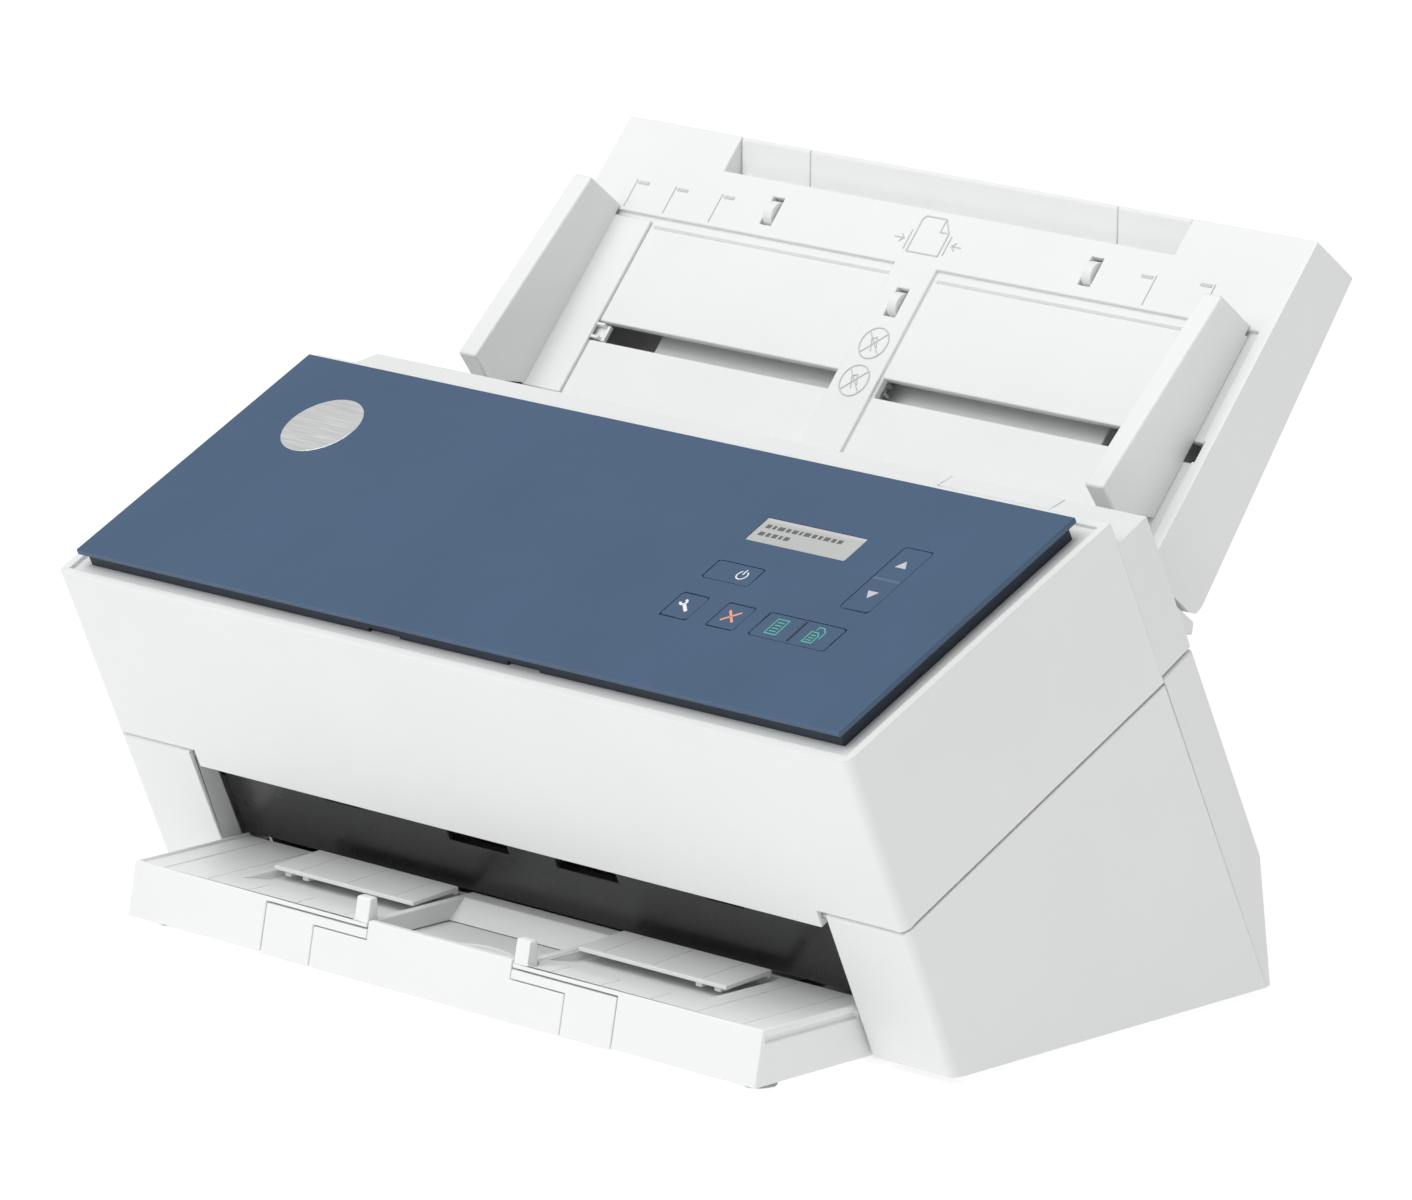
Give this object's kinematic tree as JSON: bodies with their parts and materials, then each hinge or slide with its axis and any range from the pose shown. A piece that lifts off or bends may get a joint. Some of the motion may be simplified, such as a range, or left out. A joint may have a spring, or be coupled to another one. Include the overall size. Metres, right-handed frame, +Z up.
{
  "type": "sheet fed document scanner",
  "caption": "Desktop sheet fed document scanner with a sloping input tray, a hinged hatch with a control panel, and a pull-out output tray.",
  "frame": {"origin": "on the table under the middle of the whole machine, feet at z=0", "axes": "+X to the operator's right, -Y towards the operator (output tray), +Z up"},
  "size_m": [0.391, 0.2814, 0.2529],
  "materials": {
    "casing_white": "fine satin moulded ABS, cool white",
    "inner_grey": "matt moulded plastic",
    "guide_black": "satin black moulded plastic",
    "exit_black": "semi-gloss black moulded plastic",
    "scan_glass": "clear flat glass",
    "steel": "zinc plated sheet and bar",
    "brass_gear": "turned brass",
    "motor_case": "painted steel can",
    "roller_rubber": "ground rubber tyres on steel",
    "pinch_grey": "acetal",
    "belt_rubber": "toothed belt rubber",
    "foot_rubber": "soft grey rubber",
    "board_green": "solder mask",
    "socket_black": "moulded socket",
    "panel_blue": "satin blue painted plastic",
    "skirt_navy": "satin dark navy plastic",
    "emblem_silver": "satin silver",
    "display_glass": "grey liquid crystal window"
  },
  "bodies": {
    "base": {"right_side_cover": "casing_white", "left_side_cover": "casing_white", "hinge_pins": "steel", "rear_cover": "casing_white", "base_chassis": "inner_grey", "side_frames": "steel", "lower_paper_guide": "guide_black", "inlet_ramp": "inner_grey", "lower_scan_glass": "scan_glass", "lower_scan_module": "guide_black", "exit_panel": "exit_black", "drive_motor": "motor_case", "drive_belts": "belt_rubber", "main_board": "board_green", "rear_sockets": "socket_black", "tray_bracket": "casing_white", "rubber_feet": "foot_rubber", "base_screws": "steel", "latch_catches": "steel", "input_tray_shell": "casing_white", "input_tray_rear_cover": "casing_white", "output_tray": "casing_white"},
    "hatch": {"hatch_shell": "casing_white", "hatch_rear_cover": "casing_white", "control_panel_plate": "panel_blue", "control_panel_skirt": "skirt_navy", "emblem_disc": "emblem_silver", "display_window": "display_glass", "panel_circuit_board": "board_green", "upper_paper_guide": "guide_black", "upper_scan_glass": "scan_glass", "upper_scan_module": "guide_black", "hatch_frame": "steel", "inlet_upper_guide": "guide_black"},
    "latch_lever": {"hatch_latch_lever": "casing_white"},
    "latch_hooks": {"latch_hook_shaft": "inner_grey"},
    "power_key": {"power_button": "panel_blue"},
    "tools_key": {"tools_button": "panel_blue"},
    "cancel_key": {"cancel_button": "panel_blue"},
    "scan_key": {"scan_rocker": "panel_blue"},
    "scroll_key": {"scroll_rocker": "panel_blue"},
    "exit_roller": {"exit_drive_roller": "roller_rubber"},
    "feed_roller": {"feed_drive_roller": "roller_rubber"},
    "pick_wheel": {"pick_roller": "roller_rubber"},
    "motor_rotor": {"motor_pulley": "brass_gear"},
    "exit_pinch": {"exit_pinch_roller": "pinch_grey"},
    "feed_pinch": {"feed_pinch_roller": "pinch_grey"},
    "separation_wheel": {"separation_roller": "roller_rubber"},
    "guide_left": {"left_guide": "casing_white"},
    "guide_right": {"right_guide": "casing_white"},
    "pinion": {"guide_pinion": "inner_grey"},
    "tray_stage_1": {"tray_extension_1": "casing_white"},
    "tray_stage_2": {"tray_extension_2": "casing_white"},
    "idler_left": {"left_tray_roller": "casing_white"},
    "idler_right": {"right_tray_roller": "casing_white"},
    "idler_centre": {"centre_tray_roller": "casing_white"},
    "flap_left": {"left_output_flap": "casing_white"},
    "flap_right": {"right_output_flap": "casing_white"},
    "output_stage_1": {"output_extension_1": "casing_white"},
    "output_stage_2": {"output_extension_2": "casing_white"}
  },
  "joints": [
    {"name": "hatch_hinge", "type": "hinge", "parent": "base", "child": "hatch", "pos_m": [0, -0.10567, 0.05591], "axis": [1, 0, 0], "range_deg": [0, 60]},
    {"name": "latch_hook_turn", "type": "hinge", "parent": "hatch", "child": "latch_hooks", "pos_m": [0, -0.00843, 0.14126], "axis": [1, 0, 0], "range_deg": [-7.5, 0], "stiffness_Nm_per_rad": 0.3},
    {"name": "latch_lever_lift", "type": "hinge", "parent": "hatch", "child": "latch_lever", "pos_m": [0.126, 0.0073, 0.1743], "axis": [1, 0, 0], "range_deg": [0, 15]},
    {"name": "power_press", "type": "slide", "parent": "hatch", "child": "power_key", "axis": [0, 0.4274, -0.9041], "range_m": [0, 0.0008], "stiffness_N_per_m": 300},
    {"name": "tools_press", "type": "slide", "parent": "hatch", "child": "tools_key", "axis": [0, 0.4274, -0.9041], "range_m": [0, 0.0008], "stiffness_N_per_m": 300},
    {"name": "cancel_press", "type": "slide", "parent": "hatch", "child": "cancel_key", "axis": [0, 0.4274, -0.9041], "range_m": [0, 0.0008], "stiffness_N_per_m": 300},
    {"name": "scan_rock", "type": "hinge", "parent": "hatch", "child": "scan_key", "pos_m": [0.13255, -0.09472, 0.14428], "axis": [0, 0.9041, 0.4274], "range_deg": [-2.5, 2.5], "stiffness_Nm_per_rad": 0.08},
    {"name": "scroll_rock", "type": "hinge", "parent": "hatch", "child": "scroll_key", "pos_m": [0.1444, -0.06426, 0.15869], "axis": [1, 0, 0], "range_deg": [-2.5, 2.5], "stiffness_Nm_per_rad": 0.08},
    {"name": "feed_roller_turn", "type": "hinge", "parent": "base", "child": "feed_roller", "pos_m": [0, -0.02006, 0.0839], "axis": [1, 0, 0], "continuous": true},
    {"name": "exit_roller_turn", "type": "hinge", "parent": "base", "child": "exit_roller", "pos_m": [0, -0.08315, 0.05244], "axis": [1, 0, 0], "continuous": true},
    {"name": "pick_roller_turn", "type": "hinge", "parent": "base", "child": "pick_wheel", "pos_m": [0, 0.02018, 0.11377], "axis": [1, 0, 0], "continuous": true},
    {"name": "motor_turn", "type": "hinge", "parent": "base", "child": "motor_rotor", "pos_m": [-0.16, -0.03, 0.038], "axis": [1, 0, 0], "continuous": true},
    {"name": "feed_pinch_turn", "type": "hinge", "parent": "hatch", "child": "feed_pinch", "pos_m": [0, -0.02599, 0.0958], "axis": [1, 0, 0], "continuous": true},
    {"name": "exit_pinch_turn", "type": "hinge", "parent": "hatch", "child": "exit_pinch", "pos_m": [0, -0.08909, 0.06434], "axis": [1, 0, 0], "continuous": true},
    {"name": "separation_turn", "type": "hinge", "parent": "hatch", "child": "separation_wheel", "pos_m": [0, 0.0039, 0.1275], "axis": [1, 0, 0], "continuous": true},
    {"name": "left_guide_slide", "type": "slide", "parent": "base", "child": "guide_left", "axis": [1, 0, 0], "range_m": [0, 0.1]},
    {"name": "right_guide_slide", "type": "slide", "parent": "base", "child": "guide_right", "axis": [-1, 0, 0], "range_m": [0, 0.1]},
    {"name": "guide_pinion_turn", "type": "hinge", "parent": "base", "child": "pinion", "pos_m": [0, 0.07208, 0.18276], "axis": [0, 0.7645, -0.6447], "range_deg": [0, 573.06]},
    {"name": "tray_stage_1_slide", "type": "slide", "parent": "base", "child": "tray_stage_1", "axis": [0, 0.6447, 0.7645], "range_m": [0, 0.085]},
    {"name": "tray_stage_2_slide", "type": "slide", "parent": "tray_stage_1", "child": "tray_stage_2", "axis": [0, 0.6447, 0.7645], "range_m": [0, 0.08]},
    {"name": "left_tray_roller_turn", "type": "hinge", "parent": "base", "child": "idler_left", "pos_m": [-0.0783, 0.10707, 0.2303], "axis": [1, 0, 0], "continuous": true},
    {"name": "right_tray_roller_turn", "type": "hinge", "parent": "base", "child": "idler_right", "pos_m": [0.0783, 0.10707, 0.2303], "axis": [1, 0, 0], "continuous": true},
    {"name": "centre_tray_roller_turn", "type": "hinge", "parent": "base", "child": "idler_centre", "pos_m": [0, 0.09044, 0.21058], "axis": [1, 0, 0], "continuous": true},
    {"name": "left_flap_lift", "type": "hinge", "parent": "base", "child": "flap_left", "pos_m": [-0.077, -0.0898, 0.0232], "axis": [-1, 0, 0], "range_deg": [0, 18]},
    {"name": "right_flap_lift", "type": "hinge", "parent": "base", "child": "flap_right", "pos_m": [0.077, -0.0898, 0.0232], "axis": [-1, 0, 0], "range_deg": [0, 18]},
    {"name": "output_stage_1_slide", "type": "slide", "parent": "base", "child": "output_stage_1", "axis": [0, -1, 0], "range_m": [0, 0.11]},
    {"name": "output_stage_2_slide", "type": "slide", "parent": "output_stage_1", "child": "output_stage_2", "axis": [0, -1, 0], "range_m": [0, 0.105]}
  ],
  "couplings": [
    {"joint": "latch_lever_lift", "follows": "latch_hook_turn", "ratio": -2},
    {"joint": "exit_roller_turn", "follows": "feed_roller_turn", "ratio": 1},
    {"joint": "pick_roller_turn", "follows": "feed_roller_turn", "ratio": 1},
    {"joint": "motor_turn", "follows": "feed_roller_turn", "ratio": 1.5},
    {"joint": "feed_pinch_turn", "follows": "feed_roller_turn", "ratio": -1.1667},
    {"joint": "exit_pinch_turn", "follows": "feed_roller_turn", "ratio": -1.1667},
    {"joint": "separation_turn", "follows": "feed_roller_turn", "ratio": -1.3333},
    {"joint": "right_guide_slide", "follows": "left_guide_slide", "ratio": 1},
    {"joint": "guide_pinion_turn", "follows": "left_guide_slide", "rad_per_m": 100}
  ]
}
